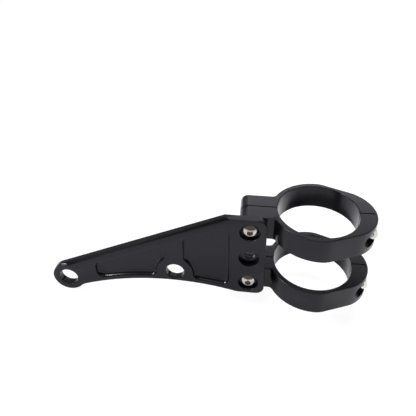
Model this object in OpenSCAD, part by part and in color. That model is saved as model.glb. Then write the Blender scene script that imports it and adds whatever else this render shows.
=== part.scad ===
// Headlight mounting bracket for a motorcycle fork leg.
// A milled side plate is screwed to two split ring clamps, one above the other.
// Z runs along the fork leg, X points away from the plate, and -Y is the front.
// The origin lies on the fork axis, halfway up the lower clamp. Sizes are in mm.

/* [Fork clamps] */
// Diameter of the fork leg that the clamps close on
fork_d = 41; // [35:0.5:54]
// Height of each clamp along the fork
clamp_h = 13.6; // [13:0.2:16]
// Wall of the ring round the fork, on the plate's side
ring_wall = 3; // [2.6:0.1:5]
// Wall that is left where the flats run beside the bore
flat_wall = 2.2; // [1.6:0.1:2.4]
// How far the screw lobe stands out past the bore
lobe_out = 8.4; // [8:0.1:12]
// Lean of the two flats towards the lobe, in degrees
flat_lean = 23; // [20:1:28]
// Radius that blends the ring into each flat
blend_r = 12; // [6:0.5:16]
// Gap between the front and the back half of a clamp
split_gap = 0.7; // [0.3:0.1:0.9]
// Broken edge on the clamps
clamp_edge = 0.4; // [0.2:0.1:0.8]

/* [Clamp tab] */
// Thickness of the tab, front half and back half together
tab_t = 18.8; // [16:0.2:24]
// From the bore to the plate screw's axis
tab_reach = 13.5; // [12:0.5:20]
// From the plate screw's axis to the end of the tab
tab_end = 5.7; // [5:0.1:9]
// Rounding of the tab's end, seen from the front
tab_corner_r = 5; // [2:0.5:6]
// Fillet between the tab and the ring
tab_fillet_r = 2.5; // [1:0.5:5]

/* [Side plate] */
// Thickness of the plate
plate_t = 4.5; // [4.5:0.1:8]
// Distance between neighbouring holes in the column of three
hole_pitch = 17.25; // [16.5:0.25:25]
// How far the plate stands above the upper clamp
plate_over = 1; // [0:0.1:3]
// How far the plate hangs below the lower clamp
plate_under = 0.7; // [0:0.1:3]
// From the hole column to the plate's edge beside the fork
plate_side = 8.5; // [7:0.1:9]
// From the hole column to the peak where the top edge starts to fall
peak_reach = 13; // [11:0.1:16]
// Fall of the top edge, in degrees
top_fall = 24.4; // [22:0.2:26]
// Rounding of the plate's corners beside the fork
plate_corner_r = 4.5; // [2:0.5:6]
// Wide bevel along the falling edge
bevel = 1.8; // [0.8:0.1:2.4]
// Broken edge on the rest of the plate
plate_edge = 0.4; // [0.2:0.1:0.8]
// From the hole column to the crown of the arch
arch_reach = 41; // [36:0.5:46]
// How far the crown of the arch stands above the plate's lower edge
arch_rise = 4.3; // [3:0.1:6]
// How far the lamp eye hangs below the arch
eye_hang = 0.8; // [0.4:0.1:2]

/* [Lamp eye and indicator hole] */
// From the hole column to the lamp eye
eye_reach = 102.7; // [95:0.5:125]
// Outer radius of the lamp eye
eye_r = 9.3; // [8.5:0.1:12]
// Diameter of the hole in the lamp eye
eye_hole_d = 11; // [8:0.1:12]
// Fillet between the lamp eye and the arch
eye_fillet_r = 7; // [3:0.5:12]
// From the hole column to the indicator hole
indicator_reach = 39.7; // [38:0.1:42]
// Height of the indicator hole above the crown of the arch
indicator_rise = 6.5; // [6:0.1:8]
// Diameter of the indicator hole
indicator_d = 10.3; // [8:0.1:11]
// Countersunk rim of both holes
hole_edge = 0.3; // [0.1:0.1:0.6]

/* [Milled pockets] */
// Depth of the two pockets, and radius of the ball cutter that rounds them
pocket_depth = 1.9; // [1:0.1:2.4]
// Rounding of the pockets' corners at their rim
pocket_corner_r = 4; // [2.6:0.1:5]
// Web that is left below the falling edge, measured square to it
web_top = 4.9; // [4:0.1:7]
// Web that is left above the arch
web_bottom = 2.7; // [1.8:0.1:3.5]
// Land that is left round the indicator hole, from its centre
land_r = 9.9; // [8.5:0.1:11]
// From the hole column to the near side of the right pocket
right_pocket_near = 10.1; // [9.5:0.1:13]
// From the indicator hole's centre to the far side of the right pocket
right_pocket_far = 4.9; // [4:0.1:6]
// From the indicator hole's centre to the near side of the left pocket
left_pocket_near = 4.9; // [4:0.1:8]
// From the lamp eye's centre to the far end of the left pocket
left_pocket_far = 17.5; // [15:0.5:22]

/* [Plate screws] */
// Thread diameter
plate_screw_d = 5; // [4:0.5:6]
// Diameter of the button head
plate_head_d = 9.5; // [8:0.1:10.5]
// Height of the button head
plate_head_h = 2.7; // [2.2:0.1:3.3]
// Length under the head
plate_screw_length = 20; // [16:1:20]
// Width of the hexagon socket across its flats
plate_socket = 3; // [2.5:0.5:4]
// Radial room of the counterbore round the head
head_room = 0.5; // [0.2:0.1:0.6]
// Depth of the plate's counterbores
plate_seat = 2.5; // [2:0.1:2.8]
// Radial room of the screws in their plain holes
hole_room = 0.3; // [0.15:0.05:0.4]

/* [Clamp screws] */
// Thread diameter
clamp_screw_d = 4; // [3:0.5:5]
// Diameter of the cap head
clamp_head_d = 7; // [5.5:0.1:7.5]
// Height of the cap head
clamp_head_h = 4; // [3:0.1:5]
// Length under the head
clamp_screw_length = 12; // [8:1:12]
// Width of the hexagon socket across its flats
clamp_socket = 3; // [2.5:0.5:4]
// From the bore to the clamp screw's axis
clamp_screw_out = 4.6; // [4.3:0.1:5.2]
// Thickness of metal between the split and the seat of the cap head
clamp_seat = 3.6; // [2.6:0.1:5]

/* [Hidden] */
$fn = 96;
arch_fn = 720;
arc_step = 4;
corner_step = 10;
wall_step = 15;
thin = 0.02;
thread_room = 0.03;
cap_room = 0.5;
socket_share = 0.6;
far = 400;

black = "#2b2b2e";
steel = "#c9c6c1";

fork_r = fork_d / 2;
ring_r = fork_r + ring_wall;
clamp_pitch = 2 * hole_pitch;

// The lobe is a round end that the two flats meet as tangents
flat_dir = 90 - flat_lean;
lobe_x = (lobe_out - flat_wall) / (1 - cos(flat_dir));
lobe_r = fork_r + lobe_out - lobe_x;
flat_d = fork_r + flat_wall;
blend_dir = flat_dir + acos((flat_d - blend_r) / (ring_r - blend_r));
blend_at = (ring_r - blend_r) * [cos(blend_dir), sin(blend_dir)];

column_x = -(fork_r + tab_reach);
tab_x = column_x - tab_end;
tab_half = tab_t / 2;
tab_fillet_at = [
    -sqrt(pow(ring_r + tab_fillet_r, 2) - pow(tab_half + tab_fillet_r, 2)), tab_half + tab_fillet_r
];
fillet_dir = atan2(tab_fillet_at.y, tab_fillet_at.x);

plate_back = -tab_half;
plate_front = plate_back - plate_t;
plate_top = clamp_pitch + clamp_h / 2 + plate_over;
plate_low = -clamp_h / 2 - plate_under;
plate_x = column_x + plate_side;
peak_x = column_x - peak_reach;

eye_x = column_x - eye_reach;
function fall_z(x) = plate_top + (x - peak_x) * tan(top_fall);
eye_z = fall_z(eye_x) - eye_r / cos(top_fall);
indicator_x = column_x - indicator_reach;
arch_x = column_x - arch_reach;
crown_z = plate_low + arch_rise;
arch_run = arch_x - eye_x;
arch_drop = crown_z - (eye_z - eye_r + eye_hang);
arch_r = (pow(arch_run, 2) + pow(arch_drop, 2)) / (2 * arch_drop);
arch_z = crown_z - arch_r;
indicator_z = crown_z + indicator_rise;

// Centre of the fillet that lies outside both the eye and the arch
eye_gap = norm([arch_x - eye_x, arch_z - eye_z]);
eye_side = eye_r + eye_fillet_r;
arch_side = arch_r - eye_fillet_r;
eye_angle = acos((pow(eye_side, 2) + pow(eye_gap, 2) - pow(arch_side, 2)) / (2 * eye_side * eye_gap));
eye_dir = atan2(arch_z - eye_z, arch_x - eye_x);
eye_fillet_at = [eye_x, eye_z] + eye_side * [cos(eye_dir + eye_angle), sin(eye_dir + eye_angle)];

clamp_screw_x = fork_r + clamp_screw_out;
clamp_seat_y = -split_gap / 2 - clamp_seat;

// Disc of height h with both rims broken by e
module broken_disc(r, h, e) {
    rotate_extrude() polygon([
        [0, -h / 2], [r - e, -h / 2], [r, -h / 2 + e], [r, h / 2 - e], [r - e, h / 2], [0, h / 2]
    ]);
}

// Hollow of height h whose rims flare by e, a little longer at both ends
module flared_hole(r, h, e) {
    over = 1;
    rotate_extrude() polygon([
        [0, -h / 2 - over], [r + e + over, -h / 2 - over], [r, -h / 2 + e],
        [r, h / 2 - e], [r + e + over, h / 2 + over], [0, h / 2 + over]
    ]);
}

// Points along an arc from one direction to another, less a few at both ends
function arc(centre, r, from, to, step = arc_step, less = 0) =
    let (steps = max(3, ceil(abs(to - from) / step)))
    [for (i = [less : steps - less]) let (a = from + (to - from) * i / steps) centre + r * [cos(a), sin(a)]];

// Solid through rings of points that run anticlockwise, from the lowest ring to the highest
module loft(rings) {
    n = len(rings[0]);
    points = [for (ring = rings) for (p = ring) p];
    walls = [
        for (k = [0 : len(rings) - 2]) for (i = [0 : n - 1])
            [k * n + i, (k + 1) * n + i, (k + 1) * n + (i + 1) % n, k * n + (i + 1) % n]
    ];
    floor_face = [for (i = [0 : n - 1]) i];
    top_face = [for (i = [n - 1 : -1 : 0]) (len(rings) - 1) * n + i];
    polyhedron(points, concat([floor_face, top_face], walls));
}

// Half of the clamp's outline, from the lobe's nose over positive Y to the tab's end
function clamp_side(inset) = concat(
    arc([lobe_x, 0], lobe_r - inset, 0, flat_dir),
    arc(blend_at, blend_r - inset, flat_dir, blend_dir),
    arc([0, 0], ring_r - inset, blend_dir, fillet_dir),
    arc(tab_fillet_at, tab_fillet_r + inset, fillet_dir - 180, -90),
    [[tab_x + inset, tab_half - inset]]
);

// Whole outline of the clamp, seen from above
function clamp_outline(inset) =
    let (side = clamp_side(inset), last = len(side) - 1)
    concat(side, [for (i = [last : -1 : 1]) [side[i].x, -side[i].y]]);

// Clamp blank with all its outer edges broken, lofted through four levels of the outline
module clamp_blank() {
    h = clamp_h / 2;
    e = clamp_edge;
    levels = [[-h, e], [-h + e, 0], [h - e, 0], [h, e]];
    loft([for (l = levels) [for (p = clamp_outline(l[1])) [p.x, p.y, l[0]]]]);
}

// What is cut away to round one corner of the tab's end, seen from the front
module tab_corner_cut(side) {
    r = tab_corner_r;
    h = clamp_h / 2;
    over = 1;
    translate([0, tab_half + over, 0]) rotate([90, 0, 0]) linear_extrude(tab_t + 2 * over)
        difference() {
            translate([tab_x - over, side > 0 ? h - r : -h - over]) square([r + over, r + over]);
            translate([tab_x + r, side * (h - r)]) circle(r);
        }
}

// Clamp before it is split in two and drilled
module clamp_body() {
    difference() {
        clamp_blank();
        for (side = [-1, 1]) tab_corner_cut(side);
        flared_hole(fork_r, clamp_h, clamp_edge);
    }
}

// Rod along Y from y1 to y2
module rod_y(r, y1, y2, x, z = 0) {
    translate([x, y1, z]) rotate([-90, 0, 0]) cylinder(r = r, h = y2 - y1);
}

// Front half of a clamp, which both screws pass through
module clamp_front_half() {
    difference() {
        clamp_body();
        translate([-far / 2, -split_gap / 2, -far / 2]) cube(far);
        rod_y(plate_screw_d / 2 + hole_room, plate_back - 1, 0, column_x);
        rod_y(clamp_screw_d / 2 + hole_room, clamp_seat_y - 1, 0, clamp_screw_x);
        rod_y(clamp_head_d / 2 + cap_room, -ring_r, clamp_seat_y, clamp_screw_x);
    }
}

// Back half of a clamp, with the two holes that are tapped right through
module clamp_back_half() {
    r = plate_screw_d / 2 + thread_room;
    difference() {
        clamp_body();
        translate([-far / 2, split_gap / 2 - far, -far / 2]) cube(far);
        rod_y(r, 0, tab_half + 1, column_x);
        translate([column_x, tab_half - hole_edge, 0]) rotate([-90, 0, 0])
            cylinder(r1 = r, r2 = r + hole_edge + 1, h = hole_edge + 1);
        rod_y(clamp_screw_d / 2 + thread_room, 0, lobe_r + 1, clamp_screw_x);
    }
}

module upper_clamp_front() {
    color(black) translate([0, 0, clamp_pitch]) clamp_front_half();
}

module upper_clamp_back() {
    color(black) translate([0, 0, clamp_pitch]) clamp_back_half();
}

module lower_clamp_front() {
    color(black) clamp_front_half();
}

module lower_clamp_back() {
    color(black) clamp_back_half();
}

// Breaks a straight edge of the plate, which lies between p and q with the metal on its left
module broken_edge(p, q, front, back, over_p = 0, over_q = 0) {
    length = norm(q - p);
    t = plate_t / 2;
    translate(p) rotate([0, 0, atan2(q.y - p.y, q.x - p.x)]) translate([-over_p, 0, 0])
        rotate([90, 0, 90]) linear_extrude(over_p + length + over_q) {
            polygon([[-1, t - front - 1], [front + 1, t + 1], [-1, t + 1]]);
            polygon([[-1, -t + back + 1], [back + 1, -t - 1], [-1, -t - 1]]);
        }
}

// The plate before its holes and pockets, lying flat with its front face up
module plate_blank() {
    r = plate_corner_r;
    e = plate_edge;
    top_corner = [plate_x, plate_top];
    low_corner = [plate_x, plate_low];
    peak = [peak_x, plate_top];
    eye = [eye_x, eye_z];
    eye_top = eye + eye_r * [-sin(top_fall), cos(top_fall)];
    arch = [arch_x, arch_z];
    above_arch = arch + (arch_r + plate_t / 2) * (eye_fillet_at - arch) / arch_side;
    below_crown = [arch_x, plate_low];
    difference() {
        union() {
            difference() {
                linear_extrude(plate_t, center = true)
                    polygon([low_corner, top_corner, peak, eye_top, eye, eye_fillet_at, below_crown]);
                broken_edge(below_crown, low_corner - [r, 0], e, e);
                broken_edge(low_corner + [0, r], top_corner - [0, r], e, e);
                broken_edge(top_corner - [r, 0], peak, e, e, over_q = 1);
                broken_edge(peak, eye_top, bevel, e, over_p = (bevel + 1) / sin(top_fall));
                translate([plate_x - r, plate_top - r, -far / 2]) cube([r + 1, r + 1, far]);
                translate([plate_x - r, plate_low - 1, -far / 2]) cube([r + 1, r + 1, far]);
                translate(arch) rotate_extrude($fn = arch_fn) polygon([
                    [0, -plate_t / 2 - 1], [arch_r + e + 1, -plate_t / 2 - 1], [arch_r, -plate_t / 2 + e],
                    [arch_r, plate_t / 2 - e], [arch_r + e + 1, plate_t / 2 + 1], [0, plate_t / 2 + 1]
                ]);
            }
            for (z = [plate_low + r, plate_top - r])
                translate([plate_x - r, z, 0]) broken_disc(r, plate_t, e);
            translate(eye) broken_disc(eye_r, plate_t, e);
            linear_extrude(plate_t, center = true) polygon([eye, eye_fillet_at, above_arch]);
        }
        translate(eye_fillet_at) flared_hole(eye_fillet_r + thin, plate_t, e);
    }
}

// Direction of a vector that points roughly down
function down(v) = atan2(v.x, -v.y) - 90;

// Rim of a pocket, drawn in by inset. Its near side stands beside the indicator hole, which lies
// towards the fork from the left pocket (side -1) and towards the lamp from the right one (side 1).
function pocket_outline(side, near_x, far_x, inset) =
    let (
        r = pocket_corner_r,
        land = [indicator_x, indicator_z],
        arch = [arch_x, arch_z],
        ledge_r = arch_r + web_bottom,
        near = near_x + side * r,
        far = far_x - side * r,
        near_top = [near, fall_z(near) - (web_top + r) / cos(top_fall)],
        far_top = [far, fall_z(far) - (web_top + r) / cos(top_fall)],
        near_land = [near, land.y + sqrt(pow(land_r + r, 2) - pow(near - land.x, 2))],
        far_low = [far, arch.y + sqrt(pow(ledge_r + r, 2) - pow(far - arch.x, 2))],
        gap = norm(arch - land),
        spread = acos((pow(land_r + r, 2) + pow(gap, 2) - pow(ledge_r + r, 2)) / (2 * (land_r + r) * gap)),
        land_dir = down(arch - land) + side * spread,
        land_low = land + (land_r + r) * [cos(land_dir), sin(land_dir)],
        top_dir = 90 + top_fall,
        near_dir = side > 0 ? -180 : 0,
        far_dir = side > 0 ? 0 : -180,
        land_from = down(land - near_land),
        land_to = down(land - land_low),
        arch_from = down(arch - land_low),
        arch_to = down(arch - far_low),
        c = r - inset,
        half_turn = 180,
        full_turn = 360
    )
    concat(
        arc(near_top, c, side > 0 ? top_dir - full_turn : top_dir, near_dir, corner_step),
        arc(near_land, c, near_dir, land_from, corner_step),
        arc(land, land_r + inset, land_from + half_turn, land_to + half_turn, less = 1),
        arc(land_low, c, land_to, arch_from, corner_step),
        arc(arch, ledge_r + inset, arch_from + half_turn, arch_to + half_turn, 1, less = 1),
        arc(far_low, c, arch_to, far_dir, corner_step),
        arc(far_top, c, far_dir, side > 0 ? top_dir : top_dir - full_turn, corner_step)
    );

// Pocket that a ball cutter leaves in the front face
module pocket(side, near_x, far_x) {
    r = pocket_depth;
    levels = concat([for (a = [90 : -wall_step : 0]) [-r * sin(a), r - r * cos(a)]], [[1, 0]]);
    last = len(pocket_outline(side, near_x, far_x, 0)) - 1;
    order = side > 0 ? [0 : last] : [last : -1 : 0];
    translate([0, 0, plate_t / 2])
        loft([for (l = levels) let (ring = pocket_outline(side, near_x, far_x, l[1]))
            [for (i = order) [ring[i].x, ring[i].y, l[0]]]]);
}

// Counterbored hole in the column beside the fork
module plate_screw_hole() {
    cylinder(r = plate_screw_d / 2 + hole_room, h = plate_t + 2, center = true);
    translate([0, 0, plate_t / 2 - plate_seat]) cylinder(r = plate_head_d / 2 + head_room, h = plate_seat + 1);
    translate([0, 0, plate_t / 2 - hole_edge])
        cylinder(r1 = plate_head_d / 2 + head_room, r2 = plate_head_d / 2 + head_room + hole_edge + 1,
            h = hole_edge + 1);
}

module side_plate() {
    color(black) translate([0, plate_back - plate_t / 2, 0]) rotate([90, 0, 0]) difference() {
        plate_blank();
        for (i = [0 : 2]) translate([column_x, i * hole_pitch, 0]) plate_screw_hole();
        translate([eye_x, eye_z, 0]) flared_hole(eye_hole_d / 2, plate_t, hole_edge);
        translate([indicator_x, indicator_z, 0]) flared_hole(indicator_d / 2, plate_t, hole_edge);
        pocket(1, indicator_x + right_pocket_far, column_x - right_pocket_near);
        pocket(-1, indicator_x - left_pocket_near, eye_x + left_pocket_far);
    }
}

// Screw that points towards the back, with the seat of its head at the origin
module screw(d, length) {
    tip = d / 8;
    rod_y(d / 2, -thin, length - tip, 0);
    translate([0, length - tip, 0]) rotate([-90, 0, 0]) cylinder(r1 = d / 2, r2 = d / 2 - tip, h = tip);
}

// Hexagon socket sunk into a head of height h
module hex_socket(across, h) {
    translate([0, -h - 1, 0]) rotate([-90, 30, 0])
        cylinder(r = across / 2 / cos(30), h = 1 + h * socket_share, $fn = 6);
}

// Button-head screw of the plate
module plate_screw() {
    dome_r = (pow(plate_head_d / 2, 2) + pow(plate_head_h, 2)) / (2 * plate_head_h);
    difference() {
        union() {
            screw(plate_screw_d, plate_screw_length);
            intersection() {
                translate([0, dome_r - plate_head_h, 0]) sphere(dome_r);
                rod_y(plate_head_d / 2, -plate_head_h, 0, 0);
            }
        }
        hex_socket(plate_socket, plate_head_h);
    }
}

// Cap screw of the clamp
module clamp_screw() {
    r = clamp_head_d / 2;
    e = clamp_head_d / 16;
    difference() {
        union() {
            screw(clamp_screw_d, clamp_screw_length);
            rod_y(r, e - clamp_head_h, 0, 0);
            translate([0, -clamp_head_h, 0]) rotate([-90, 0, 0]) cylinder(r1 = r - e, r2 = r, h = e);
        }
        hex_socket(clamp_socket, clamp_head_h);
    }
}

module upper_plate_screw() {
    color(steel) translate([column_x, plate_front + plate_seat, clamp_pitch]) plate_screw();
}

module lower_plate_screw() {
    color(steel) translate([column_x, plate_front + plate_seat, 0]) plate_screw();
}

module upper_clamp_screw() {
    color(steel) translate([clamp_screw_x, clamp_seat_y, clamp_pitch]) clamp_screw();
}

module lower_clamp_screw() {
    color(steel) translate([clamp_screw_x, clamp_seat_y, 0]) clamp_screw();
}

side_plate();
upper_clamp_front();
upper_clamp_back();
lower_clamp_front();
lower_clamp_back();
upper_plate_screw();
lower_plate_screw();
upper_clamp_screw();
lower_clamp_screw();
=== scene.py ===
"""Looks of a milled headlight mounting bracket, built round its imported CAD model.

The bracket is a side plate of black anodised aluminium, screwed to two split ring
clamps. Every length is in metres, in the CAD model's frame: Z runs along the fork
leg, X points away from the plate, and -Y is the side that the camera sees.
"""

import logging
import math
from dataclasses import dataclass, field
from enum import Enum

import bmesh
import bpy
from mathutils import Matrix, Vector


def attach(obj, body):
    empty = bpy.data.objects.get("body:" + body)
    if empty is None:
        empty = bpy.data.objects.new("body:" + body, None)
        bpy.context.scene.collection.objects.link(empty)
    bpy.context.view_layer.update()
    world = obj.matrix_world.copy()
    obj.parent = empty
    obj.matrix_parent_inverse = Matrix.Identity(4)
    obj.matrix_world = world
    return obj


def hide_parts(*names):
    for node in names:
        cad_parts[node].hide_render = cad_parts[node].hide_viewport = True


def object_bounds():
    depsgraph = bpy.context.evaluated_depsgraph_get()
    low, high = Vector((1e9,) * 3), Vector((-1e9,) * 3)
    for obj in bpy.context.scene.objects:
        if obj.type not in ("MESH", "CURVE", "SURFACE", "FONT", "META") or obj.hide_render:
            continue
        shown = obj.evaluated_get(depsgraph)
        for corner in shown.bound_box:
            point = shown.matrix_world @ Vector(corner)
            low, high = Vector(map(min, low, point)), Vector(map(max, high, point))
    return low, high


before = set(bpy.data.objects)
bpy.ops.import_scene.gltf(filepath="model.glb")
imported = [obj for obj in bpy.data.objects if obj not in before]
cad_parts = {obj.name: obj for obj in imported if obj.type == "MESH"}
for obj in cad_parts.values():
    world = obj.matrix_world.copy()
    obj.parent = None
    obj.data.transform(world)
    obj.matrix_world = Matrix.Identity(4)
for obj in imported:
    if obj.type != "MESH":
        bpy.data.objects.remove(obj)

CAD_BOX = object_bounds()
BODY = "root"
MM = 0.001
WHITE = (1, 1, 1, 1)
HEXAGON = 6

# Nearly all values of a noise texture lie between these two
NOISE_LOW, NOISE_HIGH = 0.3, 0.7

# A metric thread's form, in shares of its pitch
THREAD_DEPTH = 0.6134
ROOT_FLAT = 1 / 4
CREST_FLAT = 1 / 8

log = logging.getLogger("bracket")


class Slot(Enum):
    """Material slots of the record."""

    BLACK = "black_anodised"
    STEEL = "stainless"


class HeadForm(Enum):
    """Forms of a screw's head."""

    BUTTON = "domed, down to its seat"
    CAP = "upright, with a flat top"


def linear_colour(hex_code: str) -> tuple[float, float, float, float]:
    """Turns an sRGB hex colour to the linear values that a shader takes.

    Args:
        hex_code: Colour written as "#rrggbb".

    Returns:
        Red, green, blue and an alpha of 1.
    """
    parts = [int(hex_code[i:i + 2], 16) / 255 for i in (1, 3, 5)]
    # The curve of the sRGB standard
    red, green, blue = (p / 12.92 if p <= 0.04045 else ((p + 0.055) / 1.055) ** 2.4 for p in parts)
    return red, green, blue, 1.0


def add_node(
    tree: bpy.types.NodeTree,
    kind: str,
    settings: dict[str, object] | None = None,
    inputs: dict[str | int, object] | None = None,
) -> bpy.types.Node:
    """Adds one node with its settings, values and links.

    Args:
        tree: Node tree that gets the node.
        kind: Blender's name of the node type.
        settings: Properties of the node, by name.
        inputs: Values or output sockets for its inputs, by name or number.

    Returns:
        The new node.
    """
    node = tree.nodes.new(kind)
    for name, value in (settings or {}).items():
        setattr(node, name, value)
    for name, value in (inputs or {}).items():
        if isinstance(value, bpy.types.NodeSocket):
            tree.links.new(value, node.inputs[name])
        else:
            node.inputs[name].default_value = value
    return node


def noise(
    tree: bpy.types.NodeTree, place: bpy.types.NodeSocket, size: float, detail: float
) -> bpy.types.NodeSocket:
    """Adds a noise texture.

    Args:
        tree: Node tree that gets the texture.
        place: Coordinates to draw it at.
        size: Size of its patches.
        detail: Number of finer layers.

    Returns:
        The strength of the noise.
    """
    texture = add_node(tree, "ShaderNodeTexNoise", inputs={
        "Vector": place, "Scale": 1 / size, "Detail": detail})
    return texture.outputs["Fac"]


def patchy_roughness(
    tree: bpy.types.NodeTree, patches: bpy.types.NodeSocket, limits: tuple[float, float]
) -> bpy.types.NodeSocket:
    """Lets a surface's roughness vary with a noise texture.

    Args:
        tree: Node tree that gets the nodes.
        patches: Strength of the noise.
        limits: Least and greatest roughness.

    Returns:
        The roughness.
    """
    spread = add_node(tree, "ShaderNodeMapRange", inputs={
        "Value": patches, "From Min": NOISE_LOW, "From Max": NOISE_HIGH,
        "To Min": limits[0], "To Max": limits[1]})
    return spread.outputs["Result"]


def mix_colours(
    tree: bpy.types.NodeTree, share: bpy.types.NodeSocket, low: object, high: object
) -> bpy.types.NodeSocket:
    """Mixes two colours.

    Args:
        tree: Node tree that gets the node.
        share: Share of the second colour.
        low: The first colour, or its socket.
        high: The second colour, or its socket.

    Returns:
        The mixed colour.
    """
    # A mix node keeps its two colours in inputs 6 and 7, and gives the result in output 2
    mixed = add_node(tree, "ShaderNodeMix", {"data_type": "RGBA"}, {0: share, 6: low, 7: high})
    return mixed.outputs[2]


def seen_rays(
    tree: bpy.types.NodeTree,
) -> tuple[bpy.types.NodeOutputs, bpy.types.NodeSocket]:
    """Tells the camera's rays, also those that pass through clear things, from all others.

    Args:
        tree: Node tree that gets the nodes.

    Returns:
        The outputs of the light path node, and a value of 1 for the camera's rays.
    """
    rays = add_node(tree, "ShaderNodeLightPath").outputs
    seen = add_node(tree, "ShaderNodeMath", {"operation": "MAXIMUM"}, {
        0: rays["Is Camera Ray"], 1: rays["Is Transmission Ray"]})
    return rays, seen.outputs["Value"]


def blank_material(name: str) -> tuple[bpy.types.Material, bpy.types.NodeTree]:
    """Makes a material with an empty node tree.

    Args:
        name: Name of the material.

    Returns:
        The material and its tree.
    """
    material = bpy.data.materials.new(name)
    material.use_nodes = True
    material.node_tree.nodes.clear()
    return material, material.node_tree


@dataclass(frozen=True)
class AnodisedAluminium:
    """Bead-blasted aluminium, dyed black: a dark satin metal with a very fine even grain.

    Attributes:
        name: Name of the material.
        colour: Colour of the dyed metal.
        metal_share: Share that mirrors as metal does. The rest is the dyed oxide's.
        roughness: Least and greatest roughness.
        grain: Size of the grain. The real one is finer, and this is what still shows.
        grain_height: Depth of the grain.
        grain_strength: How much the grain turns the light.
        patch: Size of the patches in the gloss.
    """

    name: str = "black_anodised_aluminium"
    colour: str = "#35353a"
    metal_share: float = 0.85
    roughness: tuple[float, float] = (0.2, 0.27)
    grain: float = 0.35 * MM
    grain_height: float = 0.004 * MM
    grain_strength: float = 0.6
    patch: float = 18 * MM

    def build(self) -> bpy.types.Material:
        """Builds the material.

        Returns:
            The finished material.
        """
        material, tree = blank_material(self.name)
        place = add_node(tree, "ShaderNodeTexCoord").outputs["Object"]
        grain = noise(tree, place, self.grain, detail=3.0)
        patches = noise(tree, place, self.patch, detail=4.0)
        rough = patchy_roughness(tree, patches, self.roughness)
        bump = add_node(tree, "ShaderNodeBump", inputs={
            "Height": grain, "Distance": self.grain_height, "Strength": self.grain_strength})
        surface = add_node(tree, "ShaderNodeBsdfPrincipled", inputs={
            "Base Color": linear_colour(self.colour), "Metallic": self.metal_share,
            "Roughness": rough, "Normal": bump.outputs["Normal"]})
        add_node(tree, "ShaderNodeOutputMaterial", inputs={"Surface": surface.outputs["BSDF"]})
        return material


@dataclass(frozen=True)
class PolishedStainless:
    """Cold-headed stainless steel, barrel polished: bright, with soft swirls in its gloss.

    Attributes:
        name: Name of the material.
        colour: Colour of the metal.
        roughness: Least and greatest roughness.
        patch: Size of the swirls.
    """

    name: str = "polished_stainless_steel"
    colour: str = "#dcdad6"
    roughness: tuple[float, float] = (0.08, 0.2)
    patch: float = 1.6 * MM

    def build(self) -> bpy.types.Material:
        """Builds the material.

        Returns:
            The finished material.
        """
        material, tree = blank_material(self.name)
        place = add_node(tree, "ShaderNodeTexCoord").outputs["Object"]
        patches = noise(tree, place, self.patch, detail=3.0)
        rough = patchy_roughness(tree, patches, self.roughness)
        surface = add_node(tree, "ShaderNodeBsdfPrincipled", inputs={
            "Base Color": linear_colour(self.colour), "Metallic": 1.0, "Roughness": rough})
        add_node(tree, "ShaderNodeOutputMaterial", inputs={"Surface": surface.outputs["BSDF"]})
        return material


def object_from(
    bm: bmesh.types.BMesh, name: str, material: bpy.types.Material
) -> bpy.types.Object:
    """Turns a bmesh into an object at the origin.

    Args:
        bm: Mesh in its final place. It is freed.
        name: Name of the object.
        material: Its only material.

    Returns:
        The linked object.
    """
    mesh = bpy.data.meshes.new(name)
    bm.to_mesh(mesh)
    bm.free()
    mesh.materials.append(material)
    piece = bpy.data.objects.new(name, mesh)
    bpy.context.scene.collection.objects.link(piece)
    return piece


def settle(piece: bpy.types.Object, slot: Slot, *nodes: str) -> None:
    """Makes a piece ride on the bracket and stand for the CAD nodes that it replaces.

    Args:
        piece: The finished piece.
        slot: Slot of the record that its finish comes from. Not used.
        nodes: CAD nodes that it replaces.
    """
    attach(piece, BODY)
    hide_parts(*nodes)
    log.info("%s: %d faces", piece.name, len(piece.data.polygons))


def edges_at(verts: list[bmesh.types.BMVert]) -> list[bmesh.types.BMEdge]:
    """Lists the edges at some vertices.

    Args:
        verts: The vertices.

    Returns:
        Each edge once, in the same order at every run.
    """
    return list(dict.fromkeys(e for v in verts for e in v.link_edges))


def extrude_loop(
    bm: bmesh.types.BMesh, loop: list[bmesh.types.BMEdge]
) -> tuple[list[bmesh.types.BMVert], list[bmesh.types.BMEdge]]:
    """Grows a strip of faces from a loop of edges.

    Args:
        bm: Mesh that the loop belongs to.
        loop: Edges that the strip starts from.

    Returns:
        The new vertices, still in the old ones' places, and the new loop.
    """
    grown = bmesh.ops.extrude_edge_only(bm, edges=loop)["geom"]
    verts = [g for g in grown if isinstance(g, bmesh.types.BMVert)]
    edges = [g for g in grown if isinstance(g, bmesh.types.BMEdge) and g.is_boundary]
    return verts, edges


def put_on_circle(verts: list[bmesh.types.BMVert], radius: float, level: float) -> None:
    """Moves vertices straight out from the Y axis, or in, to a circle round it.

    Args:
        verts: Vertices to move.
        radius: Radius of the circle.
        level: Its place along Y.
    """
    for vert in verts:
        out = Vector((vert.co.x, 0, vert.co.z)).normalized() * radius
        vert.co = Vector((out.x, level, out.z))


@dataclass
class Facet:
    """Neighbouring faces of a mesh that lie in one plane.

    Attributes:
        area: Area of the faces.
        outline: Length of the outline.
    """

    area: float = 0.0
    outline: float = 0.0

    @property
    def width(self) -> float:
        """Measures how wide the facet is.

        Returns:
            The mean width, which is small for a broken edge.
        """
        return 2 * self.area / self.outline


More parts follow.
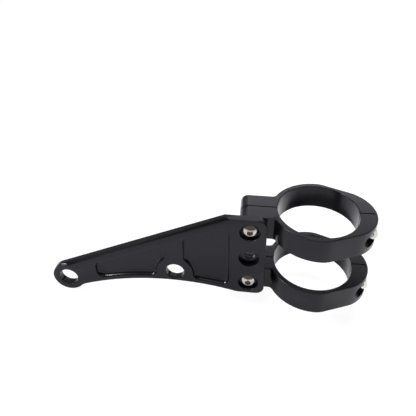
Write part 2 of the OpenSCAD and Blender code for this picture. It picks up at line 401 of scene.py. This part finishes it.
@dataclass
class MachinedPiece:
    """A milled piece: the CAD solid's own shape, merged and with smooth round walls.

    Angles are in degrees.

    Attributes:
        node: CAD node that it stands for.
        sharp_angle: Bend from which an edge shows.
        broken_edge_angle: The same beside a broken edge, which shades round.
        broken_edge_width: Widest facet that counts as a broken edge.
        flat_area: Smallest facet that counts as a large flat.
        plane_angle: Greatest bend inside one plane.
        strong_face: Weight that lets a large flat rule the shading at its edges.
        fold_angle: Bend from which two faces lie folded on each other.
        same_plane: Least cosine between two faces of one plane.
        merge_gap: Greatest distance between vertices that are one.
    """

    node: str
    sharp_angle: float = 30.0
    broken_edge_angle: float = 50.0
    broken_edge_width: float = 0.8 * MM
    flat_area: float = 25 * MM * MM
    plane_angle: float = 0.3
    strong_face: int = 16384
    fold_angle: float = 170.0
    same_plane: float = 0.9999
    merge_gap: float = 0.00005 * MM

    @staticmethod
    def bend(edge: bmesh.types.BMEdge) -> float:
        """Measures how far the mesh bends over an edge.

        Args:
            edge: The edge.

        Returns:
            The bend in degrees, which is 180 at an open edge.
        """
        return math.degrees(edge.calc_face_angle(math.pi))

    def facets(self, bm: bmesh.types.BMesh) -> list[Facet]:
        """Gathers the faces that lie in one plane.

        Args:
            bm: Mesh of the piece.

        Returns:
            The facet of every face, by the face's index.
        """
        bm.faces.index_update()
        owner: list[Facet | None] = [None] * len(bm.faces)
        for seed in bm.faces:
            if owner[seed.index] is not None:
                continue
            facet = owner[seed.index] = Facet()
            queue = [seed]
            while queue:
                face = queue.pop()
                facet.area += face.calc_area()
                for edge in face.edges:
                    beyond = [f for f in edge.link_faces if f is not face]
                    if len(beyond) == 1 and self.bend(edge) < self.plane_angle:
                        if owner[beyond[0].index] is None:
                            owner[beyond[0].index] = facet
                            queue.append(beyond[0])
                    else:
                        facet.outline += edge.calc_length()
        return owner

    def unfold(self, bm: bmesh.types.BMesh) -> None:
        """Refills a flat spot where the CAD mesh folds back on itself.

        Args:
            bm: Closed mesh of the piece.
        """
        faulty = dict.fromkeys(
            f for e in bm.edges if not e.is_boundary and self.bend(e) > self.fold_angle
            for f in e.link_faces)
        if not faulty:
            return
        largest = max(faulty, key=lambda f: f.calc_area())
        normal = largest.normal.copy()
        folded = [f for f in faulty if abs(f.normal.dot(normal)) > self.same_plane]
        bmesh.ops.delete(bm, geom=folded, context="FACES")
        rim = [e for e in bm.edges if e.is_boundary]
        filled = bmesh.ops.holes_fill(bm, edges=rim, sides=0)["faces"]
        for face in filled:
            face.normal_update()
            if face.normal.dot(normal) < 0:
                face.normal_flip()
        bmesh.ops.triangulate(bm, faces=filled, ngon_method="EAR_CLIP")
        log.info("%s: refilled %d folded faces", self.node, len(folded))

    def build(self, material: bpy.types.Material) -> bpy.types.Object:
        """Copies the CAD node's mesh and smooths what the cutter leaves round.

        Args:
            material: Finish of the piece.

        Returns:
            The finished piece.
        """
        bm = bmesh.new()
        bm.from_mesh(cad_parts[self.node].data)
        bmesh.ops.remove_doubles(bm, verts=bm.verts, dist=self.merge_gap)
        self.unfold(bm)
        owner = self.facets(bm)
        # The modifier below reads this layer
        strength = bm.faces.layers.int.new("__mod_weightednormals_faceweight")
        for face in bm.faces:
            facet = owner[face.index]
            face.smooth = True
            if facet.area > self.flat_area and facet.width > self.broken_edge_width:
                face[strength] = self.strong_face
        for edge in bm.edges:
            narrow = min(owner[f.index].width for f in edge.link_faces) < self.broken_edge_width
            limit = self.broken_edge_angle if narrow else self.sharp_angle
            edge.smooth = self.bend(edge) < limit
        piece = object_from(bm, f"milled_{self.node}", material)
        weighted = piece.modifiers.new("even_shading", "WEIGHTED_NORMAL")
        weighted.keep_sharp = True
        weighted.use_face_influence = True
        settle(piece, Slot.BLACK, self.node)
        return piece


@dataclass(frozen=True)
class Thread:
    """A metric thread and the shank that carries it.

    Attributes:
        diameter: Diameter over the crests.
        pitch: Distance from one crest to the next.
        length: Length of the shank below the head.
    """

    diameter: float
    pitch: float
    length: float

    @property
    def root_radius(self) -> float:
        """Measures the bottom of the groove.

        Returns:
            Its radius.
        """
        return self.diameter / 2 - THREAD_DEPTH * self.pitch


@dataclass
class SocketScrew:
    """A screw along Y with a hexagon socket, whose head's seat lies at its place.

    Attributes:
        node: CAD node that it stands for.
        place: Middle of the head's seat.
        thread: Its thread and shank.
        form: Form of its head.
        head_radius: Radius of the head.
        head_height: Height of the head.
        socket_across: Width of the socket across its flats.
        socket_share: Depth of the socket, in shares of the head's height.
        drill_share: Radius of the drilled cone, in shares of the socket's width.
        drill_depth: Depth of that cone, in shares of its radius.
        cap_top: Radius of a cap head's flat top, in shares of the head's.
        cap_edge: Rings of a cap head's round edge: share of the radius, and distance
            from the top.
        seat_edge: Width of the broken edge at the seat.
        seat_rise: Height of that edge.
        shank_start: Distance from the seat to the cut end of the shank.
        point_share: Size of the chamfer at the point, in shares of the diameter.
        sharp_angle: Bend in degrees from which an edge shows.
        weld_gap: Greatest distance between vertices of the thread that are one.
        rim_gap: Greatest distance from the rim of a vertex that lies on it.
        side_points: Number of vertices along one side of the socket.
        crown_rings: Number of rings between the socket and the rim.
        steps_per_turn: Number of steps in one turn of the thread.
        spare_turns: Turns of thread that are wound above the seat and cut off.
    """

    node: str
    place: Vector
    thread: Thread
    form: HeadForm
    head_radius: float
    head_height: float
    socket_across: float
    socket_share: float = 0.6
    drill_share: float = 0.49
    drill_depth: float = 0.3
    cap_top: float = 0.9
    cap_edge: tuple[tuple[float, float], ...] = ((0.97, 0.12 * MM), (1.0, 0.45 * MM))
    seat_edge: float = 0.1 * MM
    seat_rise: float = 0.02 * MM
    shank_start: float = 0.05 * MM
    point_share: float = 1 / 8
    sharp_angle: float = 40.0
    weld_gap: float = 0.002 * MM
    rim_gap: float = 0.01 * MM
    side_points: int = 8
    crown_rings: int = 7
    steps_per_turn: int = 24
    spare_turns: int = 2

    def crown(self, x: float, z: float) -> float:
        """Measures the head's height above its seat at a point.

        Args:
            x: Distance from the axis along X.
            z: Distance from the axis along Z.

        Returns:
            The height along -Y.
        """
        if self.form is HeadForm.CAP:
            return self.head_height
        rise, width = self.head_height, self.head_radius
        sphere = (width ** 2 + rise ** 2) / (2 * rise)
        return max(0.0, math.sqrt(sphere ** 2 - x ** 2 - z ** 2) - (sphere - rise))

    def on_circle(self, edge: bmesh.types.BMEdge, radius: float) -> bool:
        """Says whether an edge lies on a circle round the axis.

        Args:
            edge: The edge.
            radius: Radius of the circle.

        Returns:
            Whether both its ends do.
        """
        return all(
            abs(math.hypot(v.co.x, v.co.z) - radius) < self.rim_gap for v in edge.verts)

    def head(self, bm: bmesh.types.BMesh) -> None:
        """Builds the head with its socket, from the hexagon outwards.

        Args:
            bm: Empty mesh that the head is built in.
        """
        upright = Matrix.Rotation(math.radians(90), 4, "X")
        corner = self.socket_across / math.sqrt(3)
        hexagon = bmesh.ops.create_circle(
            bm, segments=HEXAGON, radius=corner, matrix=upright)["verts"]
        bmesh.ops.subdivide_edges(bm, edges=edges_at(hexagon), cuts=self.side_points - 1)
        inner = list(bm.edges)
        top = self.head_radius * (self.cap_top if self.form is HeadForm.CAP else 1.0)
        circle = bmesh.ops.create_circle(
            bm, segments=HEXAGON * self.side_points, radius=top, matrix=upright)["verts"]
        spokes = list(bmesh.ops.bridge_loops(bm, edges=inner + edges_at(circle))["edges"])
        bmesh.ops.subdivide_edges(
            bm, edges=spokes, cuts=self.crown_rings, use_grid_fill=True)
        for vert in bm.verts:
            vert.co.y = -self.crown(vert.co.x, vert.co.z)
        self.socket(bm, inner)
        self.skirt(bm, [e for e in bm.edges if e.is_boundary and self.on_circle(e, top)])

    def socket(self, bm: bmesh.types.BMesh, hexagon: list[bmesh.types.BMEdge]) -> None:
        """Sinks the hexagon into the head, with the cone that the drill leaves.

        Args:
            bm: Mesh of the head.
            hexagon: Edges of the hexagon.
        """
        floor = -self.head_height * (1 - self.socket_share)
        verts, loop = extrude_loop(bm, hexagon)
        for vert in verts:
            vert.co.y = floor
        verts, loop = extrude_loop(bm, loop)
        drill = self.socket_across * self.drill_share
        put_on_circle(verts, drill, floor)
        verts, loop = extrude_loop(bm, loop)
        tip = Vector((0, floor + drill * self.drill_depth, 0))
        bmesh.ops.pointmerge(bm, verts=verts, merge_co=tip)

    def skirt(self, bm: bmesh.types.BMesh, loop: list[bmesh.types.BMEdge]) -> None:
        """Closes the head from its rim down to the seat and in to the shank.

        Args:
            bm: Mesh of the head.
            loop: Edges of the rim.
        """
        edge = self.cap_edge if self.form is HeadForm.CAP else ()
        rings = [(self.head_radius * share, drop - self.head_height) for share, drop in edge]
        rings += [
            (self.head_radius, -self.seat_rise),
            (self.head_radius - self.seat_edge, 0.0),
            (self.thread.root_radius, 0.0)]
        for radius, level in rings:
            verts, loop = extrude_loop(bm, loop)
            put_on_circle(verts, radius, level)
        bmesh.ops.holes_fill(bm, edges=loop, sides=0)

    def shank(self, bm: bmesh.types.BMesh) -> None:
        """Winds the thread as one helical strip, cuts it square and closes both ends.

        Args:
            bm: Empty mesh that the shank is built in.
        """
        crest, root, pitch = self.thread.diameter / 2, self.thread.root_radius, self.thread.pitch
        flank = (1 - ROOT_FLAT - CREST_FLAT) / 2
        profile = [
            (root, 0.0), (root, ROOT_FLAT), (crest, ROOT_FLAT + flank),
            (crest, ROOT_FLAT + flank + CREST_FLAT), (root, 1.0)]
        verts = [bm.verts.new((r, (share - self.spare_turns) * pitch, 0)) for r, share in profile]
        edges = [bm.edges.new(pair) for pair in zip(verts, verts[1:])]
        turns = math.ceil(self.thread.length / pitch) + self.spare_turns + 1
        bmesh.ops.spin(
            bm, geom=verts + edges, axis=(0, 1, 0), cent=(0, 0, 0), angle=math.tau * turns,
            dvec=(0, pitch / self.steps_per_turn, 0), steps=self.steps_per_turn * turns)
        bmesh.ops.remove_doubles(bm, verts=bm.verts, dist=self.weld_gap)
        for level, side in ((self.shank_start, -1), (self.thread.length, 1)):
            bmesh.ops.bisect_plane(
                bm, geom=bm.verts[:] + bm.edges[:] + bm.faces[:], plane_co=(0, level, 0),
                plane_no=(0, side, 0), clear_outer=True)
        bmesh.ops.holes_fill(bm, edges=[e for e in bm.edges if e.is_boundary], sides=0)
        chamfer = self.thread.diameter * self.point_share
        for vert in bm.verts:
            limit = crest - chamfer + (self.thread.length - vert.co.y)
            reach = math.hypot(vert.co.x, vert.co.z)
            if reach > limit:
                vert.co.x *= limit / reach
                vert.co.z *= limit / reach

    def build(self, material: bpy.types.Material) -> bpy.types.Object:
        """Builds the screw in its place.

        Args:
            material: Finish of the screw.

        Returns:
            The finished piece.
        """
        bm = bmesh.new()
        self.head(bm)
        shank = bmesh.new()
        self.shank(shank)
        carrier = bpy.data.meshes.new("shank")
        shank.to_mesh(carrier)
        shank.free()
        bm.from_mesh(carrier)
        bpy.data.meshes.remove(carrier)
        bmesh.ops.recalc_face_normals(bm, faces=bm.faces)
        bmesh.ops.translate(bm, verts=bm.verts, vec=self.place)
        limit = math.radians(self.sharp_angle)
        for face in bm.faces:
            face.smooth = True
        for edge in bm.edges:
            edge.smooth = len(edge.link_faces) == 2 and edge.calc_face_angle() < limit
        piece = object_from(bm, f"turned_{self.node}", material)
        settle(piece, Slot.STEEL, self.node)
        return piece


@dataclass
class Bracket:
    """The whole bracket: plate, two split clamps and four screws.

    Attributes:
        milled: Nodes of the plate and the clamps' halves.
        column: Place of the plate screws along X.
        clamp_screw: Place of the clamp screws along X.
        plate_seat: Seat of the plate screws along Y.
        clamp_seat: Seat of the clamp screws along Y.
        clamp_pitch: Height of the upper clamp over the lower one.
    """

    milled: tuple[str, ...] = (
        "side_plate", "upper_clamp_front", "upper_clamp_back",
        "lower_clamp_front", "lower_clamp_back")
    column: float = -34.0 * MM
    clamp_screw: float = 25.1 * MM
    plate_seat: float = -11.4 * MM
    clamp_seat: float = -3.95 * MM
    clamp_pitch: float = 34.5 * MM

    def screws(self) -> list[SocketScrew]:
        """Lists the four screws.

        Returns:
            Two button heads in the plate and two cap heads in the clamps.
        """
        listed = []
        for level, height in (("upper", self.clamp_pitch), ("lower", 0.0)):
            listed.append(SocketScrew(
                node=f"{level}_plate_screw",
                place=Vector((self.column, self.plate_seat, height)),
                thread=Thread(diameter=5 * MM, pitch=0.8 * MM, length=20 * MM),
                form=HeadForm.BUTTON, head_radius=4.75 * MM, head_height=2.7 * MM,
                socket_across=3 * MM))
            listed.append(SocketScrew(
                node=f"{level}_clamp_screw",
                place=Vector((self.clamp_screw, self.clamp_seat, height)),
                thread=Thread(diameter=4 * MM, pitch=0.7 * MM, length=12 * MM),
                form=HeadForm.CAP, head_radius=3.5 * MM, head_height=4 * MM,
                socket_across=3 * MM))
        return listed

    def build(self) -> None:
        """Builds and dresses every piece."""
        black = AnodisedAluminium().build()
        steel = PolishedStainless().build()
        for node in self.milled:
            MachinedPiece(node).build(black)
        for screw in self.screws():
            screw.build(steel)


@dataclass(frozen=True)
class Softbox:
    """A rectangular soft lamp that faces a point.

    Attributes:
        name: Name of the lamp.
        place: Where it hangs.
        aim: Point that it faces.
        size: Its width and height.
        watts: Its power.
        roll: Turn about its own axis, in degrees.
        spread: Angle of its light, in degrees.
        mirrored: Whether it shows in reflections.
    """

    name: str
    place: Vector
    aim: Vector
    size: tuple[float, float]
    watts: float
    roll: float = 0.0
    spread: float = 180.0
    mirrored: bool = True


@dataclass
class Studio:
    """A white studio: pale floor, soft lamps, a black flag, surroundings and the camera.

    Angles are in degrees.

    Attributes:
        floor_level: Height of the floor.
        floor_radius: Radius of the floor.
        floor_points: Number of vertices round the floor.
        floor_glow: Strength of the floor's white for the camera.
        white_share: Share of that white. The rest is lit card, which takes the shadow.
        card: Colour of the floor's card.
        lens: Focal length of the camera, in millimetres.
        azimuth: Turn of the camera about Z.
        elevation: Height of the camera's view over the horizon.
        roll: Turn of the camera about its own axis.
        eye: Place of the camera.
        shift: Shift of the lens.
        clip_start: Distance from which the camera sees.
        room: Grey that mirrored rays meet on the camera's side.
        backdrop: Grey that they meet behind the bracket.
        room_edge: Directions along Y between which the one turns into the other.
        fill: Grey that lights the bracket from all sides.
        flag_card: Colour of the flag.
        flag_left: Left edge of the flag along X.
        flag_right: Its right edge.
        flag_behind: Place of the flag along Y.
        flag_top: Its upper edge along Z.
    """

    floor_level: float = CAD_BOX[0][2] - 0.1 * MM
    floor_radius: float = 4.0
    floor_points: int = 96
    floor_glow: float = 1.15
    white_share: float = 0.8
    card: str = "#e4e4e4"
    lens: float = 40.786
    azimuth: float = 9.984
    elevation: float = 28.663
    roll: float = -2.270
    eye: Vector = field(default_factory=lambda: Vector((-32.86, -198.22, 195.68)) * MM)
    shift: tuple[float, float] = (0.05706, -0.19231)
    clip_start: float = 5 * MM
    room: str = "#5a524e"
    backdrop: str = "#959595"
    room_edge: tuple[float, float] = (-0.35, 0.15)
    fill: str = "#6c6c6c"
    flag_card: str = "#101010"
    flag_left: float = -0.03
    flag_right: float = 0.2
    flag_behind: float = 0.2
    flag_top: float = 0.125

    def camera(self) -> None:
        """Puts the camera where the photograph was taken from."""
        data = bpy.data.cameras.new("camera")
        data.lens = self.lens
        data.shift_x, data.shift_y = self.shift
        data.clip_start = self.clip_start
        camera = bpy.data.objects.new("camera", data)
        turn = (
            Matrix.Rotation(math.radians(self.azimuth), 4, "Z")
            @ Matrix.Rotation(math.radians(90 - self.elevation), 4, "X")
            @ Matrix.Rotation(math.radians(self.roll), 4, "Z"))
        camera.matrix_world = Matrix.Translation(self.eye) @ turn
        bpy.context.scene.collection.objects.link(camera)
        bpy.context.scene.camera = camera

    def world(self) -> None:
        """Surrounds the bracket with white for the camera and with greys for other rays."""
        world = bpy.data.worlds.new("surroundings")
        world.use_nodes = True
        tree = world.node_tree
        tree.nodes.clear()
        rays, seen = seen_rays(tree)
        place = add_node(tree, "ShaderNodeTexCoord")
        side = add_node(tree, "ShaderNodeSeparateXYZ", inputs={
            "Vector": place.outputs["Generated"]})
        behind = add_node(tree, "ShaderNodeMapRange", {"interpolation_type": "SMOOTHSTEP"}, {
            "Value": side.outputs["Y"], "From Min": self.room_edge[0],
            "From Max": self.room_edge[1]})
        mirrored = mix_colours(
            tree, behind.outputs["Result"], linear_colour(self.room), linear_colour(self.backdrop))
        unseen = mix_colours(tree, rays["Is Glossy Ray"], linear_colour(self.fill), mirrored)
        colour = mix_colours(tree, seen, unseen, WHITE)
        background = add_node(tree, "ShaderNodeBackground", inputs={
            "Color": colour, "Strength": 1.0})
        add_node(tree, "ShaderNodeOutputWorld", inputs={
            "Surface": background.outputs["Background"]})
        bpy.context.scene.world = world

    def floor(self) -> None:
        """Lays a pale floor that is white to the camera and keeps a soft shadow."""
        bm = bmesh.new()
        bmesh.ops.create_circle(
            bm, cap_ends=True, segments=self.floor_points, radius=self.floor_radius)
        bmesh.ops.translate(bm, verts=bm.verts, vec=(0, 0, self.floor_level))
        material, tree = blank_material("white_card")
        _, seen = seen_rays(tree)
        glow = add_node(tree, "ShaderNodeEmission", inputs={
            "Color": WHITE, "Strength": self.floor_glow})
        card = add_node(tree, "ShaderNodeBsdfDiffuse", inputs={"Color": linear_colour(self.card)})
        share = add_node(tree, "ShaderNodeMath", {"operation": "MULTIPLY"}, {
            0: seen, 1: self.white_share})
        mixed = add_node(tree, "ShaderNodeMixShader", inputs={
            0: share.outputs["Value"], 1: card.outputs["BSDF"], 2: glow.outputs["Emission"]})
        add_node(tree, "ShaderNodeOutputMaterial", inputs={"Surface": mixed.outputs["Shader"]})
        object_from(bm, "floor", material)

    def flag(self) -> None:
        """Stands a black card behind the bracket, which only mirrored rays meet."""
        bm = bmesh.new()
        bm.faces.new([bm.verts.new((x, self.flag_behind, z)) for x, z in (
            (self.flag_left, self.floor_level), (self.flag_right, self.floor_level),
            (self.flag_right, self.flag_top), (self.flag_left, self.flag_top))])
        material, tree = blank_material("black_card")
        card = add_node(tree, "ShaderNodeBsdfDiffuse", inputs={
            "Color": linear_colour(self.flag_card)})
        add_node(tree, "ShaderNodeOutputMaterial", inputs={"Surface": card.outputs["BSDF"]})
        piece = object_from(bm, "black_flag", material)
        piece.visible_camera = piece.visible_transmission = False
        piece.visible_diffuse = piece.visible_shadow = False

    def hang(self, softbox: Softbox) -> None:
        """Hangs one soft lamp.

        Args:
            softbox: The lamp.
        """
        data = bpy.data.lights.new(softbox.name, "AREA")
        data.shape = "RECTANGLE"
        data.size, data.size_y = softbox.size
        data.energy = softbox.watts
        data.spread = math.radians(softbox.spread)
        hung = bpy.data.objects.new(softbox.name, data)
        turn = (softbox.aim - softbox.place).to_track_quat("-Z", "Y").to_matrix().to_4x4()
        roll = Matrix.Rotation(math.radians(softbox.roll), 4, "Z")
        hung.matrix_world = Matrix.Translation(softbox.place) @ turn @ roll
        hung.visible_glossy = softbox.mirrored
        bpy.context.scene.collection.objects.link(hung)

    def softboxes(self) -> list[Softbox]:
        """Lists the soft lamps.

        Returns:
            One behind, one above, one at the left and one that only lights the floor behind.
        """
        middle = Vector((-0.05, 0, 0.01))
        return [
            Softbox(
                "softbox_behind", place=Vector((0.12, 0.85, 0.38)), aim=middle,
                size=(1.0, 0.55), watts=2.8, roll=14),
            Softbox(
                "softbox_above", place=Vector((-0.05, -0.05, 0.9)), aim=middle,
                size=(0.5, 0.5), watts=1.4),
            Softbox(
                "softbox_left", place=Vector((-0.9, -0.2, 0.7)), aim=middle,
                size=(0.3, 0.3), watts=9.0),
            Softbox(
                "floor_lamp", place=Vector((0.12, 0.28, 0.5)), aim=Vector((0.1, 0.2, 0)),
                size=(0.2, 0.2), watts=1.0, spread=70, mirrored=False)]

    def build(self) -> None:
        """Builds the whole studio."""
        self.camera()
        self.world()
        self.floor()
        self.flag()
        for softbox in self.softboxes():
            self.hang(softbox)


def main() -> None:
    """Builds the studio and the bracket in order."""
    logging.basicConfig(level=logging.INFO, format="%(name)s: %(message)s")
    bpy.context.scene.view_settings.view_transform = "Standard"
    Studio().build()
    Bracket().build()


if __name__ == "__main__":
    main()
